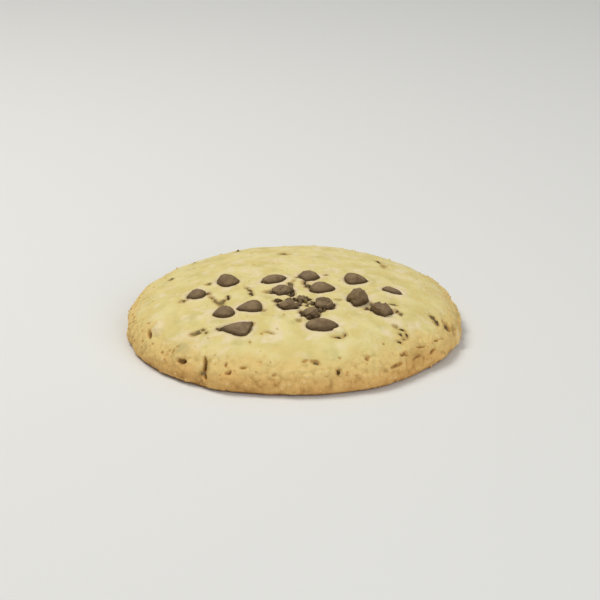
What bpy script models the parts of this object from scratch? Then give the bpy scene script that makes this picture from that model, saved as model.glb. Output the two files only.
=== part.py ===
"""A round chocolate chip cookie: a low baked dome of dough on a flat base, with drop-shaped chips and
broken chunks of chocolate set in sockets in its top. Metres, +Z up, the origin at the middle of the base."""

import math
import random
from collections import namedtuple

import bmesh
import bpy
from mathutils import Euler, Matrix, Vector, noise

MM = 0.001
GOLDEN_TURN = math.radians(137.508)

# The dough: a turned dome whose outline and top are then made uneven.
RADIUS = 55.0 * MM
THICKNESS = 17.0 * MM
WIDEST_HEIGHT = 2.5 * MM
BASE_INSET = 2.5 * MM
DOME_PLAN_POWER = 3.0
DOME_RISE_POWER = 2.1
DOME_RINGS = 14
EDGE_RINGS = 3
DOUGH_STEPS = 72

# The outline swings in and out in waves. The more of them there are round the rim, the shallower they
# are, and each is turned on from the one before. The longest runs from front to back.
WAVE_COUNTS = (2, 3, 5, 8, 13, 21)
WAVE_SWING = 0.65 * MM
LUMP_SIZE = 15 * MM
LUMP_HEIGHT = 0.55 * MM
LUMP_PLACE = Vector((3.1, 7.4, 0.0))

# The chocolate: places, lengths and girths in millimetres, angles in degrees. A chip's heading is
# where its tip points, seen from above, and its tilt is how far the tip is turned up. Its back end is
# flat when blunt is small and pointed when it is large. proud is how far it stands out of the dough.
Chip = namedtuple("Chip", "x y length girth heading tilt blunt proud")
CHIPS = (
    Chip(-31.5, -9.0, 8.0, 8.0, 200, 5, 0.50, 2.0),
    Chip(-21.0, -1.0, 8.5, 7.5, 30, 0, 0.45, 3.0),
    Chip(-22.0, -25.0, 7.5, 6.5, 185, 5, 0.50, 2.5),
    Chip(-14.0, -22.5, 8.5, 7.0, 185, 5, 0.30, 2.5),
    Chip(-6.0, 0.0, 10.5, 6.0, 30, -5, 0.60, 2.0),
    Chip(-18.5, -34.5, 10.5, 8.0, 165, 5, 0.15, 2.5),
    Chip(4.5, 1.0, 7.5, 8.5, -100, 10, 0.15, 2.0),
    Chip(9.5, -7.5, 9.5, 7.0, 10, 0, 0.50, 2.5),
    Chip(8.5, -34.0, 11.0, 6.5, 5, 5, 0.60, 2.5),
    Chip(20.5, -0.5, 8.0, 7.5, 10, 0, 0.25, 3.0),
    Chip(31.5, -6.0, 7.5, 5.0, -20, 5, 0.40, 1.5),
)
# A chunk is a broken piece, with its sizes along, across and down. turn is about the vertical, and
# grain picks its shape.
Chunk = namedtuple("Chunk", "x y length girth depth turn grain proud")
CHUNKS = (
    Chunk(-3.5, -10.0, 7.5, 6.5, 5.5, 10, 3, 2.5),
    Chunk(-1.5, -22.0, 7.5, 6.0, 6.0, -5, 8, 2.5),
    Chunk(9.5, -21.0, 7.0, 6.0, 6.0, -15, 5, 2.5),
    Chunk(5.5, -28.0, 6.5, 5.0, 5.5, 15, 11, 2.5),
    Chunk(20.0, -16.0, 7.5, 8.0, 8.5, 0, 16, 4.5),
    Chunk(27.5, -22.0, 7.5, 6.5, 6.5, -10, 14, 3.0),
    Chunk(2.5, -16.5, 5.5, 4.5, 5.0, -10, 21, 1.5),
)
SOCKET_GAP = 0.35 * MM
CHIP_STEPS = 12
CHIP_PROFILE_POINTS = 9
TIP_POWER = 0.78
CHIP_DENT = 0.35 * MM
CHIP_DENT_SIZE = 4.0 * MM
CHUNK_CORNERS = 18
CHUNK_ROUNDING = 0.45 * MM

DOUGH_COLOUR = (0.74, 0.58, 0.27, 1.0)
CHOCOLATE_COLOUR = (0.13, 0.075, 0.045, 1.0)


def clear_scene():
    for obj in list(bpy.data.objects):
        bpy.data.objects.remove(obj)


def make_collection(name):
    collection = bpy.data.collections.new(name)
    bpy.context.scene.collection.children.link(collection)
    return collection


def make_material(name, colour, roughness):
    material = bpy.data.materials.new(name)
    material.use_nodes = True
    shader = material.node_tree.nodes["Principled BSDF"]
    shader.inputs["Base Color"].default_value = colour
    shader.inputs["Roughness"].default_value = roughness
    shader.inputs["Metallic"].default_value = 0.0
    return material


def turned_mesh(name, profile, steps):
    """The mesh that an open profile of (radius, height) points makes when it turns once about Z."""
    mesh = bpy.data.meshes.new(name)
    points = [(radius, 0.0, height) for radius, height in profile]
    mesh.from_pydata(points, [(i, i + 1) for i in range(len(points) - 1)], [])
    blank = bpy.data.objects.new(name + "_blank", mesh)
    bpy.context.scene.collection.objects.link(blank)
    screw = blank.modifiers.new("Turn", "SCREW")
    screw.axis = "Z"
    screw.angle = math.tau
    screw.steps = steps
    screw.render_steps = steps
    screw.use_merge_vertices = True
    screw.merge_threshold = 0.01 * MM
    graph = bpy.context.evaluated_depsgraph_get()
    made = bpy.data.meshes.new_from_object(blank.evaluated_get(graph))
    made.name = name
    bpy.data.objects.remove(blank)
    bpy.data.meshes.remove(mesh)
    return made


def dome_point(lift):
    """(radius, height) on the dome, with lift 0 at its widest line and a quarter turn at its top."""
    radius = RADIUS * math.cos(lift) ** (2 / DOME_PLAN_POWER)
    height = (THICKNESS - WIDEST_HEIGHT) * math.sin(lift) ** (2 / DOME_RISE_POWER)
    return radius, WIDEST_HEIGHT + height


def dough_profile():
    """From the top of the dome, over its shoulder, round the bottom edge and in along the base."""
    quarter = math.pi / 2
    dome = [dome_point(quarter * (1 - i / DOME_RINGS)) for i in range(DOME_RINGS + 1)]
    dome[0] = (0.0, THICKNESS)
    edge = []
    for i in range(1, EDGE_RINGS + 1):
        turn = quarter * i / EDGE_RINGS
        edge.append((RADIUS - BASE_INSET * (1 - math.cos(turn)), WIDEST_HEIGHT * (1 - math.sin(turn))))
    edge[-1] = (RADIUS - BASE_INSET, 0.0)
    return dome + edge + [(0.0, 0.0)]


def outline_share(angle):
    """The outline's radius in this direction, as a share of RADIUS."""
    swing = 0.0
    for place, count in enumerate(WAVE_COUNTS, 1):
        swing += WAVE_SWING / math.sqrt(count) * math.cos(count * angle - place * GOLDEN_TURN)
    return 1 + swing / RADIUS


def lump(x, y):
    return LUMP_HEIGHT * noise.noise(Vector((x, y, 0.0)) / LUMP_SIZE + LUMP_PLACE)


def uneven(point):
    """A point of the turned dough, moved by the outline's waves and, above the edge, by the lumps."""
    share = outline_share(math.atan2(point.y, point.x))
    x, y = point.x * share, point.y * share
    rise = max(0.0, (point.z - WIDEST_HEIGHT) / (THICKNESS - WIDEST_HEIGHT))
    return Vector((x, y, point.z + rise * lump(x, y)))


def dough_height(x, y):
    """Height of the dough's top over a point of the plan."""
    share = math.hypot(x, y) / (RADIUS * outline_share(math.atan2(y, x)))
    lift = math.acos(min(1.0, share) ** (DOME_PLAN_POWER / 2))
    return uneven(Vector((x, y, dome_point(lift)[1]))).z


def dough_mesh():
    mesh = turned_mesh("dough", dough_profile(), DOUGH_STEPS)
    for vertex in mesh.vertices:
        vertex.co = uneven(vertex.co)
    return mesh


def plan_centre(mesh):
    xs = [vertex.co.x for vertex in mesh.vertices]
    ys = [vertex.co.y for vertex in mesh.vertices]
    return Vector(((min(xs) + max(xs)) / 2, (min(ys) + max(ys)) / 2, 0.0))


def dent(mesh, size, depth, place):
    """Moves each point along its normal by smooth noise, so that no two pieces are alike."""
    moves = [noise.noise(v.co / size + place) * depth * v.normal for v in mesh.vertices]
    for vertex, move in zip(mesh.vertices, moves):
        vertex.co += move


def chip_mesh(name, chip):
    """A melted drop lying on its side: a fine tip, a round body and a blunter back end."""
    profile = []
    for i in range(CHIP_PROFILE_POINTS + 1):
        along = 0.5 - 0.5 * math.cos(math.pi * i / CHIP_PROFILE_POINTS)
        profile.append((along**TIP_POWER * (1 - along) ** chip.blunt, 1 - along))
    widest = max(radius for radius, _ in profile)
    half_girth, length = chip.girth * MM / 2, chip.length * MM
    profile = [(half_girth * radius / widest, length * (height - 0.5)) for radius, height in profile]
    mesh = turned_mesh(name, profile, CHIP_STEPS)
    dent(mesh, CHIP_DENT_SIZE, CHIP_DENT, Vector((chip.x, chip.y, chip.length)))
    lay_down = Euler((0.0, math.radians(90 - chip.tilt), 0.0)).to_matrix()
    face = Matrix.Rotation(math.radians(chip.heading), 3, "Z")
    mesh.transform((face @ lay_down).to_4x4())
    return mesh


def stretch(piece, sizes):
    """Scales a bmesh along each axis, so that it measures the given sizes."""
    spans = []
    for axis in range(3):
        places = [vertex.co[axis] for vertex in piece.verts]
        spans.append(max(places) - min(places))
    scales = [size / span for size, span in zip(sizes, spans)]
    bmesh.ops.scale(piece, vec=scales, verts=piece.verts)


def chunk_mesh(name, chunk):
    """A broken piece: the hull of corners scattered on a ball, stretched, with its edges worn off."""
    choose = random.Random(chunk.grain)
    rock = bmesh.new()
    for i in range(CHUNK_CORNERS):
        height = 1 - (2 * i + 1) / CHUNK_CORNERS
        turn = i * GOLDEN_TURN + choose.uniform(-0.4, 0.4)
        reach = math.sqrt(1 - height * height) * choose.uniform(0.8, 1.05)
        rock.verts.new((reach * math.cos(turn), reach * math.sin(turn), height))
    hull = bmesh.ops.convex_hull(rock, input=rock.verts)
    bmesh.ops.delete(rock, geom=hull["geom_interior"], context="VERTS")
    stretch(rock, (chunk.length * MM, chunk.girth * MM, chunk.depth * MM))
    bmesh.ops.bevel(
        rock,
        geom=rock.edges,
        offset=CHUNK_ROUNDING,
        segments=1,
        profile=0.5,
        affect="EDGES",
        clamp_overlap=True,
    )
    mesh = bpy.data.meshes.new(name)
    rock.to_mesh(mesh)
    rock.free()
    mesh.transform(Matrix.Rotation(math.radians(chunk.turn), 4, "Z"))
    return mesh


def add_object(name, mesh, material, collection, location=(0.0, 0.0, 0.0)):
    obj = bpy.data.objects.new(name, mesh)
    obj.location = location
    mesh.materials.clear()
    mesh.materials.append(material)
    mesh.shade_smooth()
    collection.objects.link(obj)
    return obj


def set_in_dough(name, mesh, piece, centre, material, collection):
    """Places a piece of chocolate so that its highest point stands proud of the dough around it."""
    x, y = piece.x * MM, piece.y * MM
    highest = max(vertex.co.z for vertex in mesh.vertices)
    z = dough_height(x, y) + piece.proud * MM - highest
    return add_object(name, mesh, material, collection, Vector((x, y, z)) - centre)


def cut_socket(dough, piece, cutters):
    """Cuts the piece's own shape out of the dough, a little larger all round."""
    cutter = bpy.data.objects.new("socket_" + piece.name, piece.data.copy())
    cutter.location = piece.location
    cutter.hide_render = True
    cutter.display_type = "WIRE"
    cutters.objects.link(cutter)
    grow = cutter.modifiers.new("Gap", "DISPLACE")
    grow.mid_level = 0.0
    grow.strength = SOCKET_GAP
    cut = dough.modifiers.new("Socket " + piece.name, "BOOLEAN")
    cut.operation = "DIFFERENCE"
    cut.solver = "EXACT"
    cut.object = cutter


def main():
    clear_scene()
    parts = make_collection("chocolate_chip_cookie")
    cutters = make_collection("cutters")
    dough_material = make_material("dough", DOUGH_COLOUR, 0.8)
    chocolate_material = make_material("chocolate", CHOCOLATE_COLOUR, 0.45)

    mesh = dough_mesh()
    centre = plan_centre(mesh)
    dough = add_object("dough", mesh, dough_material, parts, -centre)

    pieces = []
    for number, chip in enumerate(CHIPS, 1):
        name = f"chip_{number:02d}"
        made = chip_mesh(name, chip)
        pieces.append(set_in_dough(name, made, chip, centre, chocolate_material, parts))
    for number, chunk in enumerate(CHUNKS, 1):
        name = f"chunk_{number:02d}"
        made = chunk_mesh(name, chunk)
        pieces.append(set_in_dough(name, made, chunk, centre, chocolate_material, parts))
    for piece in pieces:
        cut_socket(dough, piece, cutters)


main()
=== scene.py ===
"""A chocolate chip cookie on a pale floor: baked crumb, chips and broken chunks of chocolate, small
half-buried bits and loose crumbs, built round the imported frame. Sizes are in metres unless a name or a
comment says millimetres."""

import math
import random
from collections import namedtuple

import bmesh
import bpy
import numpy as np
from mathutils import Matrix, Vector, noise
from mathutils.bvhtree import BVHTree


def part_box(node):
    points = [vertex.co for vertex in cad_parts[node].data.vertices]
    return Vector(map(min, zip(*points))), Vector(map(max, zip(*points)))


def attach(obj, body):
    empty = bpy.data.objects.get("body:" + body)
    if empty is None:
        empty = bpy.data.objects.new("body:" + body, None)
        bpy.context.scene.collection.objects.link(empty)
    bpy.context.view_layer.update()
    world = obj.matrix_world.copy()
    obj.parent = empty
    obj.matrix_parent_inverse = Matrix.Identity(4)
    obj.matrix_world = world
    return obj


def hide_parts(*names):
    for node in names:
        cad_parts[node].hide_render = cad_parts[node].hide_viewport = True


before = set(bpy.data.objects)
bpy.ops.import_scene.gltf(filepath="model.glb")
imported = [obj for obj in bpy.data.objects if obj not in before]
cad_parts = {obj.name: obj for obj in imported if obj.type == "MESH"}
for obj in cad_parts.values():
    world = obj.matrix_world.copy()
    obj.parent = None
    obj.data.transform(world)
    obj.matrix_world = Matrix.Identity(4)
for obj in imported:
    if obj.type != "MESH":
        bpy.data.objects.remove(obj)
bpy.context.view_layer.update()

MM = 0.001

# The view, from the front and a little above, as from a seat at the table.
FLOOR_GAP = 0.05 * MM
VIEW_DISTANCE = 0.6
VIEW_ELEVATION = math.radians(22.5)
VIEW_AIM = Vector((1.7, 3.6, 8.4)) * MM
LENS = 109.3

# The dough's own form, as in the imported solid: a turned dome with a wavy outline and a lumpy top.
RADIUS = 55.0 * MM
THICKNESS = 17.0 * MM
WIDEST_HEIGHT = 2.5 * MM
BASE_INSET = 2.5 * MM
DOME_PLAN_POWER = 3.0
DOME_RISE_POWER = 2.1
DOME_RINGS = 32
EDGE_RINGS = 6
DOUGH_STEPS = 180
RIM_HEIGHT = 5 * MM
WAVE_COUNTS = (2, 3, 5, 8, 13, 21)
WAVE_SWING = 0.65 * MM
LUMP_SIZE = 15 * MM
LUMP_HEIGHT = 0.55 * MM
LUMP_PLACE = Vector((3.1, 7.4, 0.0))

DOUGH_VOXEL = 0.38 * MM
FACE_SHARE = 0.55
CHOCOLATE_VOXEL = 0.22 * MM
CHIP_DENT = 0.17 * MM
CHUNK_DENT = 0.38 * MM
CHUNK_BREAK = 0.9 * MM
NUGGETS = 6
NUGGET_CORNERS = 11
GOLDEN_TURN = math.radians(137.508)

# Hollows and swellings of the dough: the bearing in degrees from the cookie's middle, 0 to the right
# and -90 to the front, how far out as a share of the radius, size along and across in millimetres,
# turn in degrees, and how far the middle moves out of the surface, in millimetres. The last number browns
# a hollow, as painted shade and on the front right's crust also as browning, greys a swelling, or below nought pales
# it.
Mark = namedtuple("Mark", "bearing out length width turn rise tint")
MARKS = (
    # The front left: a pale lump and a buried grey one, each with a dark crescent, then a fissure.
    Mark(-148, 0.91, 6.0, 8.0, 0, 1.6, -0.6),
    Mark(-150, 0.96, 1.8, 6.0, 10, -1.2, 0.95),
    Mark(-131, 0.97, 7.5, 8.0, 20, 1.5, 1.0),
    Mark(-129, 1.00, 4.5, 1.6, -10, -1.2, 0.9),
    Mark(-134, 0.98, 2.0, 2.0, 0, -0.6, 0.6),
    Mark(-120, 1.00, 1.8, 9.0, 0, -1.5, 0.9),
    Mark(-113, 0.97, 1.2, 3.0, -15, -0.7, 0.6),
    Mark(-111, 1.00, 1.5, 2.5, -10, -0.7, 0.7),
    # The front: a round swelling below the chocolate, and cracks near the foot.
    Mark(-70, 0.72, 4.0, 4.0, 0, 0.9, -0.5),
    Mark(-83, 0.92, 4.0, 1.5, -20, -0.6, 0.7),
    Mark(-76, 0.98, 2.0, 2.0, 0, -0.5, 0.7),
    # The front right: a browned, cracked stretch of crust.
    Mark(-45, 0.98, 18.0, 8.0, 40, -0.3, 0.35),
    Mark(-55, 0.99, 6.0, 1.2, 45, -0.8, 0.8),
    Mark(-50, 0.96, 5.0, 1.2, 15, -0.7, 0.7),
    Mark(-45, 0.98, 6.0, 1.4, 60, -0.9, 0.8),
    Mark(-41, 0.95, 5.0, 1.2, 30, -0.8, 0.7),
    Mark(-37, 0.98, 4.5, 1.4, 75, -0.9, 0.8),
    Mark(-33, 0.96, 3.5, 1.2, 40, -0.7, 0.7),
    # The right: a notch in the shoulder, with a pale lump beyond it, and a smaller nick behind.
    Mark(-20, 0.95, 3.0, 4.5, 20, -1.4, 0.8),
    Mark(-17, 0.99, 4.5, 5.5, 0, 0.8, -0.3),
    Mark(-7, 1.00, 2.5, 3.5, 0, -1.3, 0.3),
    # The back right: a fissure in two lengths.
    Mark(40, 0.67, 1.4, 6.0, 5, -1.1, 0.95),
    Mark(30, 0.62, 1.1, 5.5, 20, -0.8, 0.9),
)
# More small pits and cracks, spread round the cookie's foot by a fixed random draw.
RIM_MARKS = 34
RIM_MARKS_SEED = 5
BLUR = 0.35
BLUR_SIZE = 1.6 * MM

# Small pieces of chocolate, mostly sunk in the dough. Each lies beside a chip or chunk: how far its
# middle is to the right of that piece's middle and away behind it, size along and across, all in
# millimetres, turn in degrees, and how far it stands proud. film is how much dough is smeared over it.
Bit = namedtuple("Bit", "beside right away length width turn proud film")
BITS = (
    # A trail from the chip at the far left to a crumbly clump behind the next one.
    Bit("chip_01", -4.0, -3.0, 3.0, 2.0, 0, 0.3, 0.2),
    Bit("chip_01", 4.0, -0.5, 2.0, 2.5, 40, 0.4, 0.1),
    Bit("chip_01", 5.0, -3.0, 3.5, 1.6, -60, 0.2, 0.5),
    Bit("chip_01", 6.5, -6.0, 4.0, 1.8, -65, 0.2, 0.4),
    Bit("chip_03", -1.5, 8.5, 4.0, 3.5, 20, 0.3, 0.4),
    Bit("chip_03", -0.5, 9.5, 2.5, 3.5, -30, 0.4, 0.3),
    Bit("chip_03", -1.0, 6.5, 2.5, 3.0, 0, 0.3, 0.5),
    Bit("chip_03", 1.0, 11.5, 1.0, 4.0, 5, 0.6, 0.0),
    Bit("chip_02", -6.5, 0.0, 3.0, 2.5, 5, 0.3, 0.4),
    # A bent sliver standing alone.
    Bit("chip_04", -1.0, 16.0, 2.0, 1.5, 0, 0.2, 0.3),
    Bit("chip_04", 0.0, 14.0, 1.5, 3.5, 30, 0.4, 0.1),
    Bit("chip_04", 0.5, 11.0, 1.5, 3.5, 10, 0.5, 0.0),
    Bit("chip_04", 4.5, -2.0, 2.0, 2.0, 0, 0.1, 0.8),
    # The tip and the back corner of the large front chip, and the clump and smear at its sides.
    Bit("chip_06", -5.0, 1.5, 2.5, 1.5, -10, 0.4, 0.1),
    Bit("chip_06", 4.5, 2.5, 3.0, 2.5, 15, 0.9, 0.0),
    Bit("chip_06", -13.0, 1.5, 3.5, 2.5, 0, 0.3, 0.5),
    Bit("chip_06", -11.5, 2.0, 2.0, 2.5, 30, 0.3, 0.3),
    Bit("chip_06", -10.0, 2.5, 1.5, 1.5, 40, 0.3, 0.4),
    Bit("chip_06", -9.0, 1.0, 1.0, 1.0, 0, 0.2, 0.2),
    Bit("chip_06", 10.5, -2.0, 4.0, 1.0, -25, 0.0, 0.7),
    Bit("chip_06", -10.5, -13.0, 2.5, 1.5, 10, 0.1, 0.3),
    # The crumbly masses in the middle.
    Bit("chunk_01", -5.0, 0.5, 3.5, 2.5, 5, 0.2, 0.6),
    Bit("chunk_01", -3.5, 0.0, 2.5, 3.5, 0, 0.5, 0.3),
    Bit("chunk_01", 2.5, 6.0, 2.0, 4.0, 10, 0.7, 0.2),
    Bit("chunk_01", 3.5, 9.0, 1.0, 2.5, -25, 0.1, 0.7),
    Bit("chunk_01", 3.0, -2.5, 2.5, 3.5, -20, 0.8, 0.0),
    Bit("chunk_02", -3.5, 4.0, 3.5, 3.0, 0, 0.9, 0.0),
    Bit("chunk_02", 0.0, 4.5, 3.0, 3.0, 0, 1.1, 0.0),
    Bit("chunk_02", 3.0, 1.5, 3.0, 2.5, 0, 0.8, 0.1),
    Bit("chunk_07", 2.5, -4.0, 3.0, 2.5, 0, 0.7, 0.1),
    Bit("chunk_03", -3.5, 1.5, 2.5, 3.5, 0, 0.8, 0.1),
    Bit("chunk_03", 2.5, -2.0, 2.0, 2.5, -30, 0.7, 0.0),
    Bit("chunk_03", -1.5, -4.0, 3.0, 3.0, 30, 1.0, 0.0),
    Bit("chunk_03", 4.5, 5.0, 2.5, 1.0, 0, 0.0, 0.8),
    Bit("chunk_04", -3.0, 1.5, 1.5, 3.0, 10, 0.6, 0.3),
    Bit("chunk_04", 1.5, -3.0, 2.0, 2.5, -30, 0.7, 0.0),
    # The chips behind them.
    Bit("chip_07", -3.5, 1.0, 2.5, 2.5, 0, 0.4, 0.3),
    Bit("chip_07", -1.5, -4.0, 2.0, 3.0, 10, 0.6, 0.0),
    Bit("chip_07", 5.5, 4.0, 1.5, 2.0, 0, 0.1, 0.8),
    Bit("chip_08", -5.0, 2.5, 2.5, 3.5, 10, 0.6, 0.1),
    Bit("chip_09", -7.0, 3.0, 1.5, 2.0, 0, 0.1, 0.8),
    # A thin dark arc in front of the front chip, and two specks lower down.
    Bit("chip_09", 4.5, -5.5, 4.5, 1.2, -5, 0.1, 0.0),
    Bit("chip_09", 7.0, -4.5, 1.2, 3.0, -40, 0.1, 0.0),
    Bit("chip_09", -2.0, -16.0, 3.5, 1.0, -20, -0.1, 0.2),
    Bit("chip_09", 5.0, -17.5, 1.5, 2.0, 0, 0.0, 0.0),
    # The right: chips of chocolate off the two big chunks, a ring of slivers and the notched shoulder.
    Bit("chunk_05", 4.5, -1.5, 1.0, 3.0, 0, 0.3, 0.3),
    Bit("chunk_05", 3.0, -4.5, 2.0, 2.0, 0, 0.5, 0.1),
    Bit("chunk_06", 4.5, 1.0, 3.0, 2.5, 10, 0.5, 0.1),
    Bit("chunk_06", 6.0, 0.0, 1.5, 2.0, -20, 0.3, 0.3),
    Bit("chunk_06", 4.0, 5.5, 3.0, 1.0, -10, 0.2, 0.4),
    Bit("chunk_06", 4.0, -7.0, 2.0, 2.0, 0, 0.1, 0.8),
    Bit("chunk_06", 6.0, -8.0, 2.5, 1.0, 0, 0.2, 0.0),
    Bit("chunk_06", 7.5, -10.0, 1.0, 3.5, 0, 0.2, 0.0),
    Bit("chunk_06", 5.5, -10.5, 1.0, 2.0, 30, 0.2, 0.1),
    Bit("chunk_06", 6.5, -12.0, 1.5, 1.5, 0, 0.1, 0.1),
    Bit("chunk_06", 5.0, -14.0, 2.5, 1.0, 0, 0.0, 0.0),
    Bit("chunk_06", 16.5, 4.5, 2.5, 3.0, 20, 0.3, 0.2),
    Bit("chunk_06", 17.5, 2.5, 2.5, 3.0, 10, 0.4, 0.1),
    Bit("chunk_06", 21.0, 4.0, 2.5, 3.5, 20, -0.2, 0.0),
    Bit("chunk_06", 23.5, 6.0, 2.5, 4.0, 0, 0.2, 0.8),
    # The back: a piece near the rim, smears under the skin and the dark of the fissure.
    Bit("chip_02", 1.5, 40.0, 3.5, 3.0, 0, 0.5, 0.2),
    Bit("chip_02", -13.0, 31.0, 2.5, 2.5, 0, 0.4, 0.4),
    Bit("chip_02", -19.5, 12.0, 2.5, 3.0, 20, 0.4, 0.3),
    Bit("chip_05", 2.5, 28.0, 4.5, 3.5, 5, 0.4, 0.3),
    Bit("chip_10", 8.0, 24.0, 1.2, 5.0, 25, 0.3, 0.0),
    Bit("chip_10", 10.0, 20.0, 1.0, 3.5, 35, 0.2, 0.2),
    Bit("chip_10", 22.0, 23.0, 3.0, 1.5, -10, 0.2, 0.6),
)
# Nubs that cling round the crumbly chunks, so that each reads as a clump and not as a clean stone.
CRUMBLY = ("chunk_01", "chunk_02", "chunk_03", "chunk_04", "chunk_07")
NUBS = 7
NUBS_SEED = 8


def paint(red, green, blue):
    """A colour given as it looks on a screen, from 0 to 255, as the linear values that shaders take."""
    linear = []
    for level in (red, green, blue):
        share = level / 255
        linear.append(share / 12.92 if share < 0.04045 else ((share + 0.055) / 1.055) ** 2.4)
    return (*linear, 1.0)


class Graph:
    """Adds nodes to a node tree and joins them up."""

    def __init__(self, tree):
        self.tree = tree

    def add(self, kind, sockets=None, **settings):
        """A new node. Each socket, by its name or its number, takes a link or a plain value."""
        node = self.tree.nodes.new(kind)
        for name, value in settings.items():
            setattr(node, name, value)
        for name, value in (sockets or {}).items():
            if isinstance(value, bpy.types.NodeSocket):
                self.tree.links.new(value, node.inputs[name])
            else:
                node.inputs[name].default_value = value
        return node

    def math(self, operation, *values):
        return self.add("ShaderNodeMath", dict(enumerate(values)), operation=operation).outputs[0]

    def vector_math(self, operation, *values):
        return self.add("ShaderNodeVectorMath", dict(enumerate(values)), operation=operation).outputs[0]

    def ease(self, value, low, high, at_low=0.0, at_high=1.0):
        """Goes smoothly from at_low to at_high as the value goes from low to high."""
        sockets = {0: value, 1: low, 2: high, 3: at_low, 4: at_high}
        return self.add("ShaderNodeMapRange", sockets, interpolation_type="SMOOTHSTEP").outputs[0]

    def cloud(self, place, size, detail=1.0, roughness=0.5, shift=0.0):
        """Soft noise from about -1 to 1, whose swells are this size across."""
        sockets = {"Vector": place, "Scale": 1 / size, "Detail": detail, "Roughness": roughness, "W": shift}
        node = self.add("ShaderNodeTexNoise", sockets, noise_dimensions="4D")
        return self.math("MULTIPLY_ADD", node.outputs[0], 2.0, -1.0)

    def cells(self, place, size, feature="F1"):
        """The Voronoi node for cells of this size."""
        return self.add("ShaderNodeTexVoronoi", {"Vector": place, "Scale": 1 / size}, feature=feature)

    def mix(self, share, first, second):
        """The first colour where the share is 0, and the second where it is 1."""
        return self.add("ShaderNodeMix", {0: share, 6: first, 7: second}, data_type="RGBA").outputs[2]

    def total(self, *values):
        result = values[0]
        for value in values[1:]:
            result = self.math("ADD", result, value)
        return result

    def product(self, *values):
        result = values[0]
        for value in values[1:]:
            result = self.math("MULTIPLY", result, value)
        return result


def geometry_tree(name, inputs):
    """A Geometry Nodes tree with these named inputs, given as (name, socket type)."""
    tree = bpy.data.node_groups.new(name, "GeometryNodeTree")
    tree.interface.new_socket("Geometry", in_out="INPUT", socket_type="NodeSocketGeometry")
    for label, kind in inputs:
        tree.interface.new_socket(label, in_out="INPUT", socket_type=kind)
    tree.interface.new_socket("Geometry", in_out="OUTPUT", socket_type="NodeSocketGeometry")
    graph = Graph(tree)
    given = graph.add("NodeGroupInput").outputs
    return graph, given


def end_tree(graph, geometry, material):
    """Realizes the instances, gives the mesh its material and sends it out of the tree."""
    real = graph.add("GeometryNodeRealizeInstances", {"Geometry": geometry}).outputs[0]
    dressed = graph.add("GeometryNodeSetMaterial", {"Geometry": real, "Material": material}).outputs[0]
    graph.add("NodeGroupOutput", {0: dressed})
    return graph.tree


def evaluated_mesh(obj, name):
    """The mesh that the object's modifiers make, as a plain mesh."""
    depsgraph = bpy.context.evaluated_depsgraph_get()
    mesh = bpy.data.meshes.new_from_object(
        obj.evaluated_get(depsgraph), preserve_all_data_layers=True, depsgraph=depsgraph
    )
    mesh.name = name
    return mesh


def grow(obj, tree, values):
    """Runs a Geometry Nodes tree on the object and keeps what it makes as the object's plain mesh."""
    modifier = obj.modifiers.new(tree.name, "NODES")
    modifier.node_group = tree
    for item in tree.interface.items_tree:
        if item.in_out == "INPUT" and item.name in values:
            modifier[item.identifier] = values[item.name]
    mesh = evaluated_mesh(obj, obj.name)
    obj.modifiers.remove(modifier)
    obj.data = mesh


def add_object(name, mesh):
    obj = bpy.data.objects.new(name, mesh)
    bpy.context.scene.collection.objects.link(obj)
    return obj


def remesh(obj, voxel):
    """Rebuilds the object's skin with faces of one size all over."""
    modifier = obj.modifiers.new("Even faces", "REMESH")
    modifier.mode = "VOXEL"
    modifier.voxel_size = voxel
    modifier.use_smooth_shade = True
    mesh = evaluated_mesh(obj, obj.name)
    obj.modifiers.remove(modifier)
    obj.data = mesh


def finish_piece(piece, nodes):
    """Says where a piece belongs: on the cookie, in place of these nodes."""
    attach(piece, "root")
    if nodes:
        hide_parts(*nodes)


# Materials


def new_material(name):
    material = bpy.data.materials.new(name)
    material.use_nodes = True
    shader = material.node_tree.nodes["Principled BSDF"]
    return material, Graph(material.node_tree), shader


def link(graph, value, shader, socket):
    graph.tree.links.new(value, shader.inputs[socket])


def object_place(graph):
    return graph.add("ShaderNodeTexCoord").outputs["Object"]


def attribute(graph, name):
    return graph.add("ShaderNodeAttribute", attribute_name=name).outputs["Fac"]


def add_bump(graph, shader, height, distance, strength=1.0):
    sockets = {"Strength": strength, "Distance": distance, "Height": height}
    link(graph, graph.add("ShaderNodeBump", sockets).outputs[0], shader, "Normal")


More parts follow.
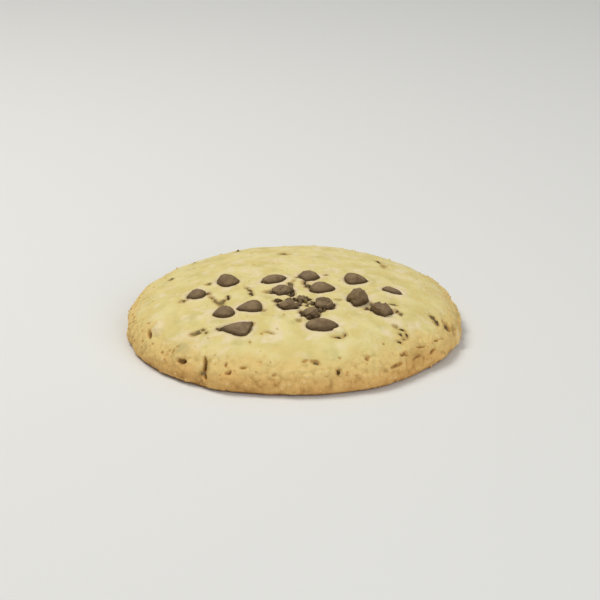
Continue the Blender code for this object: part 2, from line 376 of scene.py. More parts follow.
def dough_material():
    """Pale yellow crumb that turns golden down its side and brown underneath, with painted shade in its hollows, low
    places and where it meets the chocolate, painted highlights on its crests and round each chip, and its rim painted
    paler at the left and right ends as if lit there.
    """
    material, graph, shader = new_material("baked_dough")
    place = object_place(graph)
    toast, hollow, relief = attribute(graph, "toast"), attribute(graph, "hollow"), attribute(graph, "relief")
    halo, grey, stain = attribute(graph, "halo"), attribute(graph, "grey"), attribute(graph, "stain")
    under, pale = attribute(graph, "under"), attribute(graph, "pale")

    mottle = graph.ease(graph.cloud(place, 7 * MM, 2.0), -0.4, 0.4)
    colour = graph.mix(mottle, paint(215, 197, 126), paint(227, 213, 149))
    cream = graph.ease(graph.cloud(place, 4.4 * MM, 2.0, shift=3.1), -0.05, 0.4, 0.0, 0.85)
    colour = graph.mix(cream, colour, paint(232, 215, 174))
    olive = graph.ease(graph.cloud(place, 5.6 * MM, 2.0, shift=8.3), 0.0, 0.5, 0.0, 0.85)
    colour = graph.mix(olive, colour, paint(202, 190, 122))
    # Painted highlight: the dough round each chip is painted paler, standing for light on the raised lip there.
    colour = graph.mix(graph.product(halo, 0.9), colour, paint(232, 211, 180))
    colour = graph.mix(graph.product(grey, 0.9), colour, paint(188, 172, 116))

    uneven_toast_and_lit_ends = graph.total(toast, graph.product(graph.cloud(place, 6 * MM, 3.0, shift=5.0), 0.35))
    colour = graph.mix(graph.ease(uneven_toast_and_lit_ends, 0.0, 0.4), colour, paint(224, 195, 124))
    colour = graph.mix(graph.ease(uneven_toast_and_lit_ends, 0.45, 0.9), colour, paint(222, 180, 108))
    colour = graph.mix(graph.ease(uneven_toast_and_lit_ends, 0.85, 1.2), colour, paint(190, 140, 75))
    sole = graph.ease(graph.cloud(place, 6 * MM, 3.0, 0.6, shift=6.4), -0.35, 0.4)
    colour = graph.mix(under, colour, graph.mix(sole, paint(146, 94, 44), paint(196, 146, 82)))
    colour = graph.mix(graph.product(pale, 0.8), colour, paint(234, 216, 172))

    # Painted shade and highlight: the low places of the crumb's relief are painted darker and its crests paler; the
    # random freckles take the same darker colour.
    shaded_valley = graph.mix(toast, paint(196, 178, 106), paint(152, 104, 46))
    lit_crest = graph.mix(toast, paint(240, 229, 182), paint(240, 206, 146))
    colour = graph.mix(graph.ease(relief, -0.15, -1.0, 0.0, 0.7), colour, shaded_valley)
    colour = graph.mix(graph.ease(relief, 0.25, 1.1, 0.0, 0.6), colour, lit_crest)
    freckle = graph.ease(graph.cloud(place, 1.3 * MM, 1.0, shift=1.7), 0.4, 0.8, 0.0, 0.15)
    colour = graph.mix(freckle, colour, shaded_valley)
    # Painted shade where the dough meets the chocolate and the small bits.
    colour = graph.mix(graph.product(stain, 0.6), colour, paint(150, 126, 72))
    # Painted shade: hollows, cracks and pits are painted golden brown to dark brown by their depth.
    colour = graph.mix(graph.ease(hollow, 0.0, 0.45, 0.0, 0.6), colour, paint(196, 142, 70))
    colour = graph.mix(graph.ease(hollow, 0.2, 1.0, 0.0, 0.9), colour, paint(112, 82, 38))
    link(graph, colour, shader, "Base Color")

    shader.inputs["Roughness"].default_value = 0.8
    shader.inputs["Specular IOR Level"].default_value = 0.25
    grain = graph.total(
        graph.cloud(place, 0.9 * MM, 2.0, 0.6, shift=2.2),
        graph.product(graph.cells(place, 0.8 * MM).outputs["Distance"], -0.8),
    )
    add_bump(graph, shader, grain, 0.12 * MM)
    return material


def chocolate_material():
    """Dull brown chocolate: a greyish bloom on the tops, with painted shade where it goes into the dough and down its
    steep sides.
    """
    material, graph, shader = new_material("dull_chocolate")
    place = object_place(graph)
    bloom = graph.ease(graph.cloud(place, 2.5 * MM, 3.0, 0.6), -0.4, 0.5)
    colour = graph.mix(bloom, paint(114, 92, 64), paint(146, 124, 92))
    olive = graph.ease(graph.cloud(place, 6 * MM, 1.0, shift=4.0), 0.0, 0.6, 0.0, 0.5)
    colour = graph.mix(olive, colour, paint(126, 108, 68))
    broken = attribute(graph, "broken")
    dark = graph.ease(graph.cloud(place, 1.0 * MM, 2.0, shift=7.0), 0.25, 0.75, 0.0, 0.35)
    dark = graph.product(dark, graph.ease(broken, 0.0, 1.0, 1.0, 2.2))
    colour = graph.mix(dark, colour, paint(70, 50, 30))
    dust = graph.ease(graph.cloud(place, 0.9 * MM, 2.0, 0.6, shift=9.0), 0.2, 0.6, 0.0, 0.65)
    colour = graph.mix(graph.product(dust, broken), colour, paint(176, 152, 118))
    proud = attribute(graph, "proud")
    # Painted shade: dark where the chocolate sinks into the dough, and on its steep sides near the dough.
    sunk_shade = graph.ease(proud, 1.2, 0.15, 0.0, 0.9)
    shaded = graph.product(attribute(graph, "steep"), graph.ease(proud, 2.2, 0.5), 0.75)
    colour = graph.mix(graph.math("MAXIMUM", sunk_shade, shaded), colour, paint(66, 48, 22))
    colour = graph.mix(attribute(graph, "film"), colour, paint(186, 168, 106))
    link(graph, colour, shader, "Base Color")
    link(graph, graph.ease(bloom, 0.0, 1.0, 0.6, 0.8), shader, "Roughness")
    shader.inputs["Specular IOR Level"].default_value = 0.25
    add_bump(graph, shader, graph.cloud(place, 0.6 * MM, 3.0, 0.65), 0.07 * MM)
    return material


def crumb_material():
    """Loose crumbs, each with one of the dough's colours, the golden ones painted paler at the lit ends as the dough
    is.
    """
    material, graph, shader = new_material("loose_crumb")
    place = object_place(graph)
    tone = graph.ease(graph.cloud(place, 1.6 * MM, 1.0), -0.4, 0.4)
    pale = graph.mix(tone, paint(218, 198, 130), paint(230, 213, 152))
    golden = graph.mix(tone, paint(200, 155, 88), paint(230, 194, 128))
    colour = graph.mix(graph.ease(attribute(graph, "toast"), 0.0, 0.5), pale, golden)
    link(graph, colour, shader, "Base Color")
    shader.inputs["Roughness"].default_value = 0.8
    shader.inputs["Specular IOR Level"].default_value = 0.25
    return material


def plain_material(name, colour, roughness):
    material, _, shader = new_material(name)
    shader.inputs["Base Color"].default_value = colour
    shader.inputs["Roughness"].default_value = roughness
    return material


# The dough


def dome_point(lift):
    """(radius, height) on the dome, with lift 0 at its widest line and a quarter turn at its top."""
    radius = RADIUS * math.cos(lift) ** (2 / DOME_PLAN_POWER)
    height = (THICKNESS - WIDEST_HEIGHT) * math.sin(lift) ** (2 / DOME_RISE_POWER)
    return radius, WIDEST_HEIGHT + height


def dough_profile():
    """From the top of the dome, over its shoulder, round the bottom edge and in along the base."""
    quarter = math.pi / 2
    dome = [dome_point(quarter * (1 - i / DOME_RINGS)) for i in range(DOME_RINGS + 1)]
    dome[0] = (0.0, THICKNESS)
    edge = []
    for i in range(1, EDGE_RINGS + 1):
        turn = quarter * i / EDGE_RINGS
        edge.append((RADIUS - BASE_INSET * (1 - math.cos(turn)), WIDEST_HEIGHT * (1 - math.sin(turn))))
    edge[-1] = (RADIUS - BASE_INSET, 0.0)
    return dome + edge + [(0.0, 0.0)]


def uneven(point):
    """A point of the turned dough, moved by the outline's waves and, above the edge, by the lumps."""
    angle = math.atan2(point.y, point.x)
    swing = 0.0
    for place, count in enumerate(WAVE_COUNTS, 1):
        swing += WAVE_SWING / math.sqrt(count) * math.cos(count * angle - place * GOLDEN_TURN)
    x, y = point.x * (1 + swing / RADIUS), point.y * (1 + swing / RADIUS)
    rise = max(0.0, (point.z - WIDEST_HEIGHT) / (THICKNESS - WIDEST_HEIGHT))
    lump = LUMP_HEIGHT * noise.noise(Vector((x, y, 0.0)) / LUMP_SIZE + LUMP_PLACE)
    return Vector((x, y, point.z + rise * lump))


def turned_dough():
    """The dough before baking's marks, spun from its profile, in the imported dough's place."""
    shape = bmesh.new()
    line = [shape.verts.new((radius, 0.0, height)) for radius, height in dough_profile()]
    edges = [shape.edges.new(pair) for pair in zip(line, line[1:])]
    bmesh.ops.spin(shape, geom=line + edges, cent=(0, 0, 0), axis=(0, 0, 1), angle=math.tau, steps=DOUGH_STEPS)
    bmesh.ops.remove_doubles(shape, verts=shape.verts, dist=0.001 * MM)
    for vertex in shape.verts:
        vertex.co = uneven(vertex.co)
    bmesh.ops.recalc_face_normals(shape, faces=shape.faces)
    low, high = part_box("dough")
    xs, ys = [v.co.x for v in shape.verts], [v.co.y for v in shape.verts]
    shift_x = (low[0] + high[0]) / 2 - (min(xs) + max(xs)) / 2
    shift_y = (low[1] + high[1]) / 2 - (min(ys) + max(ys)) / 2
    bmesh.ops.translate(shape, vec=(shift_x, shift_y, 0), verts=shape.verts)
    mesh = bpy.data.meshes.new("dough_look")
    shape.to_mesh(mesh)
    shape.free()
    return mesh


def skin_of(obj):
    """A tree for finding points on the object's surface."""
    return BVHTree.FromObject(obj, bpy.context.evaluated_depsgraph_get())


def top_point(skin, x, y):
    """The point and the outward direction of the dough's top over (x, y), or of its rim beyond that."""
    place, direction, _, _ = skin.ray_cast(Vector((x, y, 0.1)), Vector((0, 0, -1)))
    if place is None:
        place, direction, _, _ = skin.find_nearest(Vector((x, y, RIM_HEIGHT)))
    return place, direction


def surface_axes(direction, turn):
    """Unit vectors along a turned piece, across it and out of the surface."""
    along = Vector((math.cos(turn), math.sin(turn), 0.0))
    across = direction.cross(along).normalized()
    return across.cross(direction).normalized(), across, direction


def mesh_array(mesh):
    points = np.empty(len(mesh.vertices) * 3, np.float32)
    mesh.vertices.foreach_get("co", points)
    return points.reshape(-1, 3)


def add_attribute(mesh, name, values):
    layer = mesh.attributes.new(name, "FLOAT", "POINT")
    layer.data.foreach_set("value", np.asarray(values, np.float32))


def ragged(points):
    """Noise at each point, which makes the outlines of the marks ragged."""
    return np.array([BLUR * noise.noise(Vector(point) / BLUR_SIZE) for point in points], np.float32)


def rim_marks():
    """Small pits and cracks round the foot, each lying along the rim."""
    draw = random.Random(RIM_MARKS_SEED)
    made = []
    for i in range(RIM_MARKS):
        bearing = 360 * (i + draw.uniform(-0.4, 0.4)) / RIM_MARKS
        turn = bearing + 90 + draw.uniform(-35, 35)
        size = draw.uniform(1.4, 3.4)
        deep = draw.uniform(0.25, 0.7)
        out = draw.uniform(0.91, 1.0)
        made.append(Mark(bearing, out, size, draw.uniform(0.9, 1.6), turn, -deep, deep))
    return made


def nubs():
    """Small lumps set in a ring round the middle of each crumbly chunk, half in and half out of it."""
    draw = random.Random(NUBS_SEED)
    made = []
    for node in CRUMBLY:
        low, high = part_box(node)
        reach_x, reach_y = (high[0] - low[0]) / 2 / MM, (high[1] - low[1]) / 2 / MM
        for i in range(NUBS):
            turn = math.tau * (i + draw.uniform(-0.3, 0.3)) / NUBS
            reach = draw.uniform(0.72, 1.02)
            right, away = reach * reach_x * math.cos(turn), reach * reach_y * math.sin(turn)
            length, width = draw.uniform(1.3, 2.6), draw.uniform(1.2, 2.2)
            proud, film = draw.uniform(0.3, 1.3), draw.choice((0.0, 0.0, 0.1, 0.4))
            made.append(Bit(node, right, away, length, width, math.degrees(turn), proud, film))
    return made


def bit_place(skin, bit):
    """The point of the dough's top where a bit lies, and the outward direction there."""
    low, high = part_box(bit.beside)
    x, y = (low[0] + high[0]) / 2 + bit.right * MM, (low[1] + high[1]) / 2 + bit.away * MM
    return top_point(skin, x, y)


def mark_place(skin, mark):
    """The point of the dough's skin where a mark's middle is, and the outward direction there."""
    bearing, reach = math.radians(mark.bearing), mark.out * RADIUS
    return top_point(skin, reach * math.cos(bearing), reach * math.sin(bearing))


def press_marks(dough, skin, all_bits):
    """Makes the hollows and swellings in the dough, and the beds in which the small bits lie. Each hollow, bed
    included, is marked for painted shade by its depth.
    """
    points = mesh_array(dough.data)
    hollow = np.zeros(len(points), np.float32)
    grey = np.zeros(len(points), np.float32)
    pale = np.zeros(len(points), np.float32)
    moves = np.zeros_like(points)
    dents = [(mark_place(skin, mark), mark) for mark in (*MARKS, *rim_marks())]
    for bit in all_bits:
        bed = Mark(0, 0, bit.length * 1.5, bit.width * 1.5, bit.turn, -0.3, 0.3)
        dents.append((bit_place(skin, bit), bed))
    blur = ragged(points)
    for (middle, direction), mark in dents:
        along, across, out = surface_axes(direction, math.radians(mark.turn))
        offset = points - np.array(middle, np.float32)
        a = offset @ np.array(along) / (mark.length * MM / 2)
        b = offset @ np.array(across) / (mark.width * MM / 2)
        near = np.abs(offset @ np.array(out)) < 4 * MM
        share = np.clip(1 + blur - a * a - b * b, 0, 1) * near
        moves += np.outer(share * mark.rise * MM, np.array(out))
        # A hollow is marked for painted shade by its depth; a swelling is greyed or paled.
        if mark.rise < 0:
            hollow = np.maximum(hollow, share * mark.tint)
        else:
            grey = np.maximum(grey, np.clip(share * mark.tint * 2, 0, 1))
            pale = np.maximum(pale, np.clip(share * mark.tint * -2, 0, 1))
    dough.data.vertices.foreach_set("co", (points + moves).ravel())
    add_attribute(dough.data, "hollow", hollow)
    add_attribute(dough.data, "grey", grey)
    add_attribute(dough.data, "pale", pale)


def crumb_relief_tree(material):
    """Bakes the crumb's texture into the dough: swells, grain, cracks, pits and a lip at each chip. It also stores
    where colour is painted: shade in hollows, cracks, pits and at the chocolate, a highlight round each chip, and the
    toast with its paler lit ends.
    """
    graph, given = geometry_tree(
        "Baked crumb",
        (
            ("Chocolate", "NodeSocketObject"),
            ("Bits", "NodeSocketObject"),
            ("Swell", "NodeSocketFloat"),
            ("Crumb", "NodeSocketFloat"),
            ("Grain", "NodeSocketFloat"),
            ("Crack", "NodeSocketFloat"),
            ("Pit", "NodeSocketFloat"),
            ("Lip", "NodeSocketFloat"),
        ),
    )
    place = graph.add("GeometryNodeInputPosition").outputs[0]
    normal = graph.add("GeometryNodeInputNormal").outputs[0]
    apart = graph.add("ShaderNodeSeparateXYZ", {0: place}).outputs
    facing = graph.add("ShaderNodeSeparateXYZ", {0: normal}).outputs
    flat = graph.add("ShaderNodeCombineXYZ", {0: apart[0], 1: apart[1]}).outputs[0]
    from_middle = graph.add("ShaderNodeVectorMath", {0: flat}, operation="LENGTH").outputs["Value"]

    under = graph.ease(facing[2], -0.45, -0.85)
    # Painted light: the toast fades towards the left and right ends of the rim, which are painted paler as if lit
    # there.
    lit_ends = graph.ease(graph.math("ABSOLUTE", apart[0]), 42 * MM, 54 * MM, 1.0, 0.72)
    browning_and_lit_ends = graph.product(graph.ease(apart[2], 14 * MM, 1 * MM), lit_ends)
    coarse = graph.math("MAXIMUM", graph.ease(apart[2], 12.5 * MM, 3 * MM), graph.ease(from_middle, 46 * MM, 54 * MM))

    chocolate = graph.add("GeometryNodeObjectInfo", {"Object": given["Chocolate"]}).outputs["Geometry"]
    gap = graph.add("GeometryNodeProximity", {0: chocolate, "Sample Position": place}).outputs["Distance"]
    bits = graph.add("GeometryNodeObjectInfo", {"Object": given["Bits"]}).outputs["Geometry"]
    bit_gap = graph.add("GeometryNodeProximity", {0: bits, "Sample Position": place}).outputs["Distance"]
    # Painted highlight: a pale ring, broken by noise, just round the chocolate, where the raised lip catches the
    # light.
    lip_highlight_luck = graph.ease(graph.cloud(place, 3 * MM, 2.0, shift=7.0), -0.5, 0.4, 0.1, 1.0)
    halo = graph.product(graph.ease(gap, 2.4 * MM, 0.5 * MM), lip_highlight_luck)
    # Painted shade: a dark line in the dough right at the chocolate and round the small bits.
    stain = graph.math("MAXIMUM", graph.ease(gap, 0.45 * MM, 0.0), graph.ease(bit_gap, 1.1 * MM, 0.0))
    lip_shape = graph.product(graph.ease(gap, 0.0, 0.9 * MM), graph.ease(gap, 2.4 * MM, 0.9 * MM))
    lip_luck = graph.ease(graph.cloud(place, 4 * MM, 1.0, shift=9.0), -0.3, 0.5, 0.1, 1.0)

    swell_share = graph.ease(coarse, 0.0, 1.0, 1.0, 3.6)
    swell = graph.product(graph.cloud(place, 7 * MM, 2.0), swell_share, given["Swell"])
    crumb = graph.product(graph.cloud(place, 2.6 * MM, 3.0, 0.6, 1.0), graph.ease(coarse, 0.0, 1.0, 0.45, 1.0))
    dome = graph.ease(graph.cells(place, 1.9 * MM).outputs["Distance"], 0.05, 0.8, 1.0, -0.8)
    grain_patch = graph.ease(graph.cloud(place, 6 * MM, 1.0, shift=2.0), -0.5, 0.3, 0.2, 1.0)
    grain = graph.product(dome, grain_patch, graph.ease(coarse, 0.1, 1.0, 0.25, 1.0))

    line = graph.math("ABSOLUTE", graph.cloud(place, 6 * MM, 2.0, 0.6, 4.0))
    crack_luck = graph.ease(graph.cloud(place, 7 * MM, 1.0, shift=6.0), 0.1, 0.5)
    crack_share = graph.product(graph.ease(line, 0.07, 0.0), crack_luck, graph.ease(coarse, 0.0, 0.8, 0.3, 1.0))
    crack = graph.product(crack_share, given["Crack"], -1.0)

    holes = graph.cells(place, 3.4 * MM)
    chance = graph.add("ShaderNodeSeparateXYZ", {0: holes.outputs["Color"]}).outputs[0]
    hole_size = graph.ease(chance, graph.ease(coarse, 0.0, 1.0, 0.94, 0.7), 1.0, 0.02, 0.27)
    hole_reach = graph.math("DIVIDE", holes.outputs["Distance"], hole_size)
    ragged_reach = graph.total(hole_reach, graph.product(graph.cloud(place, 1.2 * MM, 1.0, shift=5.5), 0.5))
    pit_share = graph.ease(ragged_reach, 1.0, 0.4)
    pit = graph.product(pit_share, given["Pit"], -1.0)

    texture = graph.total(graph.product(crumb, given["Crumb"]), graph.product(grain, given["Grain"]))
    lip = graph.product(lip_shape, lip_luck, given["Lip"])
    top_height = graph.total(swell, texture, crack, pit, lip)
    bottom_height = graph.total(graph.product(crumb, given["Crumb"], 0.5), graph.product(pit, 0.8), crack)
    mixed = graph.add("ShaderNodeMix", {0: under, 2: top_height, 3: bottom_height}, data_type="FLOAT")
    offset = graph.add("ShaderNodeVectorMath", {0: normal, "Scale": mixed.outputs[0]}, operation="SCALE")
    moved = graph.vector_math("ADD", place, offset.outputs[0])
    lifted = graph.add("ShaderNodeSeparateXYZ", {0: moved}).outputs
    settled = graph.math("MAXIMUM", lifted[2], 0.0)
    landed = graph.add("ShaderNodeCombineXYZ", {0: lifted[0], 1: lifted[1], 2: settled}).outputs[0]
    geometry = given["Geometry"]

    old_hollow_shade = graph.add("GeometryNodeInputNamedAttribute", {"Name": "hollow"}, data_type="FLOAT").outputs[0]
    # Painted shade in the cracks and pits.
    crevice_shade = graph.math("MAXIMUM", graph.product(crack_share, 0.45), graph.product(pit_share, 0.5))
    fields = (
        ("hollow", graph.math("MAXIMUM", old_hollow_shade, crevice_shade)),
        ("relief", graph.total(graph.product(crumb, 1.1), graph.product(grain, 0.8))),
        ("halo", halo),
        ("stain", stain),
        ("toast", browning_and_lit_ends),
        ("under", under),
    )
    for name, value in fields:
        sockets = {"Geometry": geometry, "Name": name, "Value": value}
        geometry = graph.add("GeometryNodeStoreNamedAttribute", sockets, data_type="FLOAT").outputs[0]
    geometry = graph.add("GeometryNodeSetPosition", {"Geometry": geometry, "Position": landed}).outputs[0]
    return end_tree(graph, geometry, material)


def thin_out(dough):
    """Joins up faces where the dough is smooth, and keeps its base from reaching below the floor."""
    modifier = dough.modifiers.new("Fewer faces", "DECIMATE")
    modifier.ratio = FACE_SHARE
    mesh = evaluated_mesh(dough, dough.name)
    dough.modifiers.remove(modifier)
    dough.data = mesh
    points = mesh_array(mesh)
    points[:, 2] = np.maximum(points[:, 2], 0)
    mesh.vertices.foreach_set("co", points.ravel())


def make_dough(dough, skin, chocolate, bits, all_bits):
    """The whole body of dough, with its skin of crumb."""
    remesh(dough, DOUGH_VOXEL)
    press_marks(dough, skin, all_bits)
    sizes = {
        "Chocolate": chocolate,
        "Bits": bits,
        "Swell": 0.35 * MM,
        "Crumb": 0.38 * MM,
        "Grain": 0.22 * MM,
        "Crack": 0.45 * MM,
        "Pit": 0.45 * MM,
        "Lip": 0.55 * MM,
    }
    grow(dough, crumb_relief_tree(dough_material()), sizes)
    thin_out(dough)
    dough.data.shade_smooth()


# The chocolate


def store_shade_and_wear(graph, geometry, dough, broken):
    """Stores how far each point of the chocolate is from the dough's skin and how steep it is, which place its
    painted shade, and how broken it is.
    """
    skin = graph.add("GeometryNodeObjectInfo", {"Object": dough}).outputs["Geometry"]
    place = graph.add("GeometryNodeInputPosition").outputs[0]
    nearest = graph.add("GeometryNodeProximity", {0: skin, "Sample Position": place}).outputs["Distance"]
    normal = graph.add("GeometryNodeInputNormal").outputs[0]
    steep = graph.ease(graph.add("ShaderNodeSeparateXYZ", {0: normal}).outputs[2], 0.75, 0.05)
    for name, value in (("proud", graph.product(nearest, 1 / MM)), ("steep", steep), ("broken", broken)):
        sockets = {"Geometry": geometry, "Name": name, "Value": value}
        geometry = graph.add("GeometryNodeStoreNamedAttribute", sockets, data_type="FLOAT").outputs[0]
    return geometry


def chocolate_tree(material):
    """Wears a piece of chocolate: soft dents, a fine grain and, on a broken piece, flat breaks."""
    graph, given = geometry_tree(
        "Worn chocolate",
        (("Dough", "NodeSocketObject"), ("Dent", "NodeSocketFloat"), ("Break", "NodeSocketFloat")),
    )
    place = graph.add("GeometryNodeInputPosition").outputs[0]
    normal = graph.add("GeometryNodeInputNormal").outputs[0]
    dent = graph.product(graph.cloud(place, 2.2 * MM, 3.0, 0.55), given["Dent"])
    cell = graph.cells(place, 2.4 * MM).outputs["Color"]
    step = graph.add("ShaderNodeSeparateXYZ", {0: cell}).outputs[0]
    broken = graph.product(graph.math("SUBTRACT", step, 0.6), given["Break"])
    height = graph.total(dent, broken)
    offset = graph.add("ShaderNodeVectorMath", {0: normal, "Scale": height}, operation="SCALE").outputs[0]
    sockets = {"Geometry": given["Geometry"], "Offset": offset}
    moved = graph.add("GeometryNodeSetPosition", sockets).outputs[0]
    broken_share = graph.ease(given["Break"], 0.0, CHUNK_BREAK)
    return end_tree(graph, store_shade_and_wear(graph, moved, given["Dough"], broken_share), material)


def welded_copy(node, name):
    """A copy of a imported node's mesh, with its loose triangles joined."""
    shape = bmesh.new()
    shape.from_mesh(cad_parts[node].data)
    bmesh.ops.remove_doubles(shape, verts=shape.verts, dist=0.001 * MM)
    mesh = bpy.data.meshes.new(name)
    shape.to_mesh(mesh)
    shape.free()
    return mesh


def make_chocolate(node, tree, dough):
    """One chip or chunk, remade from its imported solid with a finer, worn skin."""
    piece = add_object(node + "_look", welded_copy(node, node + "_look"))
    remesh(piece, CHOCOLATE_VOXEL)
    broken = node.startswith("chunk")
    dent, step = (CHUNK_DENT, CHUNK_BREAK) if broken else (CHIP_DENT, 0.0)
    grow(piece, tree, {"Dough": dough, "Dent": dent, "Break": step})
    piece.data.shade_smooth()
    return piece


def all_chocolate(pieces):
    """One hidden object that holds every chip and chunk, for measuring how near the dough is."""
    shape = bmesh.new()
    for piece in pieces:
        shape.from_mesh(piece.data)
    mesh = bpy.data.meshes.new("chocolate_guide")
    shape.to_mesh(mesh)
    shape.free()
    return add_object("chocolate_guide", mesh)


def nugget_mesh(seed):
    """An angular broken lump, one unit across: the hull of corners scattered on a ball."""
    choose = random.Random(seed)
    shape = bmesh.new()
    for i in range(NUGGET_CORNERS):
        height = 1 - (2 * i + 1) / NUGGET_CORNERS
        turn = i * GOLDEN_TURN + choose.uniform(-0.5, 0.5)
        reach = math.sqrt(1 - height * height)
        size = choose.uniform(0.38, 0.56)
        shape.verts.new((size * reach * math.cos(turn), size * reach * math.sin(turn), size * height))
    hull = bmesh.ops.convex_hull(shape, input=shape.verts)
    bmesh.ops.delete(shape, geom=hull["geom_interior"], context="VERTS")
    mesh = bpy.data.meshes.new("nugget")
    shape.to_mesh(mesh)
    shape.free()
    return mesh


def bits_tree(material):
    """Puts one of the nuggets on each point, sized and turned as the point says, and roughens it."""
    graph, given = geometry_tree(
        "Chocolate bits",
        (
            ("Nuggets", "NodeSocketCollection"),
            ("Dough", "NodeSocketObject"),
            ("Roughness", "NodeSocketFloat"),
            ("Seed", "NodeSocketInt"),
        ),
    )
    sockets = {"Collection": given["Nuggets"], "Separate Children": True, "Reset Children": True}
    nuggets = graph.add("GeometryNodeCollectionInfo", sockets).outputs[0]
    size = graph.add("GeometryNodeInputNamedAttribute", {"Name": "size"}, data_type="FLOAT_VECTOR").outputs[0]
    turn = graph.add("GeometryNodeInputNamedAttribute", {"Name": "turn"}, data_type="FLOAT_VECTOR").outputs[0]
    pick = graph.add("FunctionNodeRandomValue", data_type="INT")
    for name, value in (("Min", 0), ("Max", NUGGETS - 1)):
        [socket for socket in pick.inputs if socket.enabled and socket.name == name][0].default_value = value
    graph.tree.links.new(given["Seed"], pick.inputs["Seed"])
    picked = [socket for socket in pick.outputs if socket.enabled][0]
    sockets = {
        "Points": given["Geometry"],
        "Instance": nuggets,
        "Pick Instance": True,
        "Instance Index": picked,
        "Rotation": turn,
        "Scale": size,
    }
    placed = graph.add("GeometryNodeInstanceOnPoints", sockets).outputs[0]
    real = graph.add("GeometryNodeRealizeInstances", {"Geometry": placed}).outputs[0]
    finer = graph.add("GeometryNodeSubdivideMesh", {"Mesh": real, "Level": 3}).outputs[0]
    place = graph.add("GeometryNodeInputPosition").outputs[0]
    normal = graph.add("GeometryNodeInputNormal").outputs[0]
    height = graph.product(graph.cloud(place, 0.8 * MM, 2.0, 0.6), given["Roughness"])
    offset = graph.add("ShaderNodeVectorMath", {0: normal, "Scale": height}, operation="SCALE").outputs[0]
    moved = graph.add("GeometryNodeSetPosition", {"Geometry": finer, "Offset": offset}).outputs[0]
    return end_tree(graph, store_shade_and_wear(graph, moved, given["Dough"], 1.0), material)


def make_bits(dough, skin, material, all_bits):
    """The small pieces of chocolate, each lying in the dough's surface."""
    places, sizes, turns, films = [], [], [], []
    for bit in all_bits:
        middle, direction = bit_place(skin, bit)
        along, across, out = surface_axes(direction, math.radians(bit.turn))
        depth = (0.35 * (bit.length + bit.width) + 0.5) * MM
        places.append(middle + out * (bit.proud * MM - depth / 2))
        sizes.extend((bit.length * MM, bit.width * MM, depth))
        turns.extend(Matrix((along, across, out)).transposed().to_euler())
        films.append(bit.film)
    mesh = bpy.data.meshes.new("chocolate_bits")
    mesh.from_pydata(places, [], [])
    for name, values in (("size", sizes), ("turn", turns)):
        mesh.attributes.new(name, "FLOAT_VECTOR", "POINT").data.foreach_set("vector", values)
    add_attribute(mesh, "film", films)
    bits = add_object("chocolate_bits", mesh)
    nuggets = bpy.data.collections.new("nuggets")
    shapes = [bpy.data.objects.new(f"nugget_{seed}", nugget_mesh(seed)) for seed in range(NUGGETS)]
    for shape in shapes:
        nuggets.objects.link(shape)
    values = {"Nuggets": nuggets, "Dough": dough, "Roughness": 0.45 * MM, "Seed": 3}
    grow(bits, bits_tree(material), values)
    for shape in shapes:
        bpy.data.objects.remove(shape)
    bpy.data.collections.remove(nuggets)
    bits.data.shade_smooth()
    return bits


def crumbs_tree(material):
    """Scatters loose crumbs over the dough, most of them round its coarse edge."""
    graph, given = geometry_tree(
        "Loose crumbs",
        (
            ("Crumb", "NodeSocketObject"),
            ("Density", "NodeSocketFloat"),
            ("Least", "NodeSocketFloat"),
            ("Most", "NodeSocketFloat"),
            ("Seed", "NodeSocketInt"),
        ),
    )
    place = graph.add("GeometryNodeInputPosition").outputs[0]
    toast = graph.add("GeometryNodeInputNamedAttribute", {"Name": "toast"}, data_type="FLOAT").outputs[0]
    under = graph.add("GeometryNodeInputNamedAttribute", {"Name": "under"}, data_type="FLOAT").outputs[0]
    patch = graph.ease(graph.cloud(place, 7 * MM, 2.0, shift=3.0), -0.2, 0.6, 0.1, 1.0)
    share = graph.product(
        patch, graph.ease(toast, 0.05, 0.7, 0.12, 1.0), graph.math("SUBTRACT", 1.0, under), given["Density"]
    )
    scatter = graph.add(
        "GeometryNodeDistributePointsOnFaces",
        {"Mesh": given["Geometry"], "Density": share, "Seed": given["Seed"]},
        distribute_method="RANDOM",
    )
    size = graph.add(
        "FunctionNodeRandomValue", {"Min": given["Least"], "Max": given["Most"], "Seed": 4}, data_type="FLOAT"
    )
    turn = graph.add(
        "FunctionNodeRandomValue",
        {0: (0.0, 0.0, 0.0), 1: (math.tau, math.tau, math.tau), "Seed": 5},
        data_type="FLOAT_VECTOR",
    )
    crumb = graph.add("GeometryNodeObjectInfo", {"Object": given["Crumb"]}).outputs["Geometry"]
    size_value = [socket for socket in size.outputs if socket.enabled][0]
    turn_value = [socket for socket in turn.outputs if socket.enabled][0]
    sockets = {"Points": scatter.outputs[0], "Instance": crumb, "Rotation": turn_value, "Scale": size_value}
    placed = graph.add("GeometryNodeInstanceOnPoints", sockets).outputs[0]
    return end_tree(graph, placed, material)


def make_crumbs(dough):
    """Loose crumbs of baked dough."""
    crumb_shape = bmesh.new()
    bmesh.ops.create_icosphere(crumb_shape, subdivisions=1, radius=0.5)
    for vertex in crumb_shape.verts:
        vertex.co *= 1 + 0.6 * noise.noise(vertex.co * 3 + Vector((5, 0, 0)))
    crumb_mesh = bpy.data.meshes.new("crumb")
    crumb_shape.to_mesh(crumb_mesh)
    crumb_shape.free()
    crumb = add_object("crumb", crumb_mesh)
    crumbs = add_object("loose_crumbs", dough.data.copy())
    sizes = {"Crumb": crumb, "Density": 260000.0, "Least": 0.5 * MM, "Most": 1.1 * MM, "Seed": 11}
    grow(crumbs, crumbs_tree(crumb_material()), sizes)
    bpy.data.objects.remove(crumb)
    crumbs.data.shade_smooth()
    return crumbs


# The stage


def make_floor():
    shape = bmesh.new()
    bmesh.ops.create_grid(shape, x_segments=1, y_segments=1, size=3.0)
    bmesh.ops.translate(shape, vec=(0, 0, -FLOOR_GAP), verts=shape.verts)
    mesh = bpy.data.meshes.new("floor")
    shape.to_mesh(mesh)
    shape.free()
    floor = add_object("floor", mesh)
    floor.data.materials.append(plain_material("pale_floor", paint(226, 226, 222), 0.9))


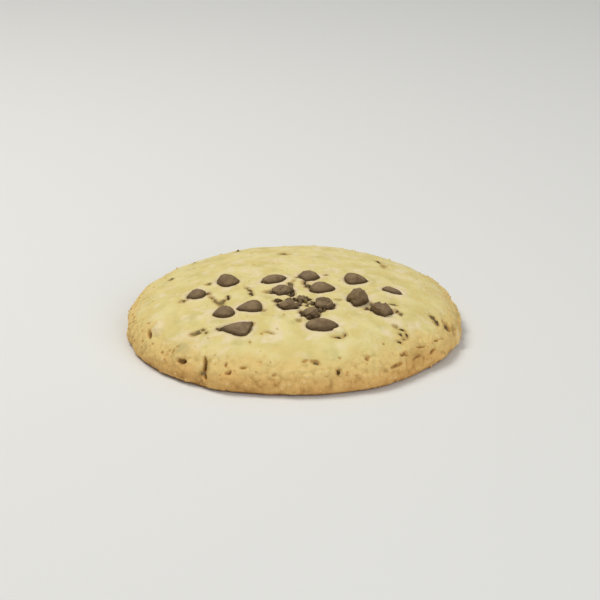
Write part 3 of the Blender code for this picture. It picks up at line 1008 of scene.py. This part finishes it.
def add_area_light(name, place, aim, size, power, colour):
    light = bpy.data.lights.new(name, "AREA")
    light.shape = "DISK"
    light.size = size
    light.energy = power
    light.color = colour
    lamp = add_object(name, light)
    lamp.location = place
    lamp.rotation_euler = (Vector(aim) - Vector(place)).to_track_quat("-Z", "Y").to_euler()


def make_lights():
    """A large soft light from above on the left, a weak one from the right, and an even sky."""
    add_area_light("key_light", (-0.36, 0.16, 0.80), (0, 0, 0), 0.45, 4.8, (1.0, 0.97, 0.92))
    add_area_light("front_light", (0.52, -0.80, 0.48), (0, 0, 0), 0.8, 4.3, (0.97, 0.98, 1.0))
    world = bpy.data.worlds.new("studio")
    world.use_nodes = True
    sky = world.node_tree.nodes["Background"]
    sky.inputs["Color"].default_value = (0.95, 0.97, 1.0, 1.0)
    sky.inputs["Strength"].default_value = 0.36
    bpy.context.scene.world = world
    bpy.context.scene.view_settings.view_transform = "Standard"


def make_camera():
    camera = bpy.data.cameras.new("camera")
    camera.lens = LENS
    camera.sensor_width = 36
    camera.clip_start = 0.01
    eye = add_object("camera", camera)
    eye.location = VIEW_DISTANCE * Vector((0, -math.cos(VIEW_ELEVATION), math.sin(VIEW_ELEVATION)))
    eye.rotation_euler = (VIEW_AIM - eye.location).to_track_quat("-Z", "Y").to_euler()
    bpy.context.scene.camera = eye


def main():
    make_camera()
    make_lights()
    make_floor()

    chocolate = chocolate_material()
    tree = chocolate_tree(chocolate)
    dough = add_object("dough_look", turned_dough())
    skin = skin_of(dough)
    nodes = sorted(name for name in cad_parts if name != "dough")
    pieces = [make_chocolate(node, tree, dough) for node in nodes]
    all_bits = [*BITS, *nubs()]
    bits = make_bits(dough, skin, chocolate, all_bits)
    guide = all_chocolate(pieces)
    make_dough(dough, skin, guide, bits, all_bits)
    bpy.data.objects.remove(guide)
    crumbs = make_crumbs(dough)

    for node, piece in zip(nodes, pieces):
        finish_piece(piece, [node])
    finish_piece(dough, ["dough"])
    finish_piece(bits, [])
    finish_piece(crumbs, [])


main()
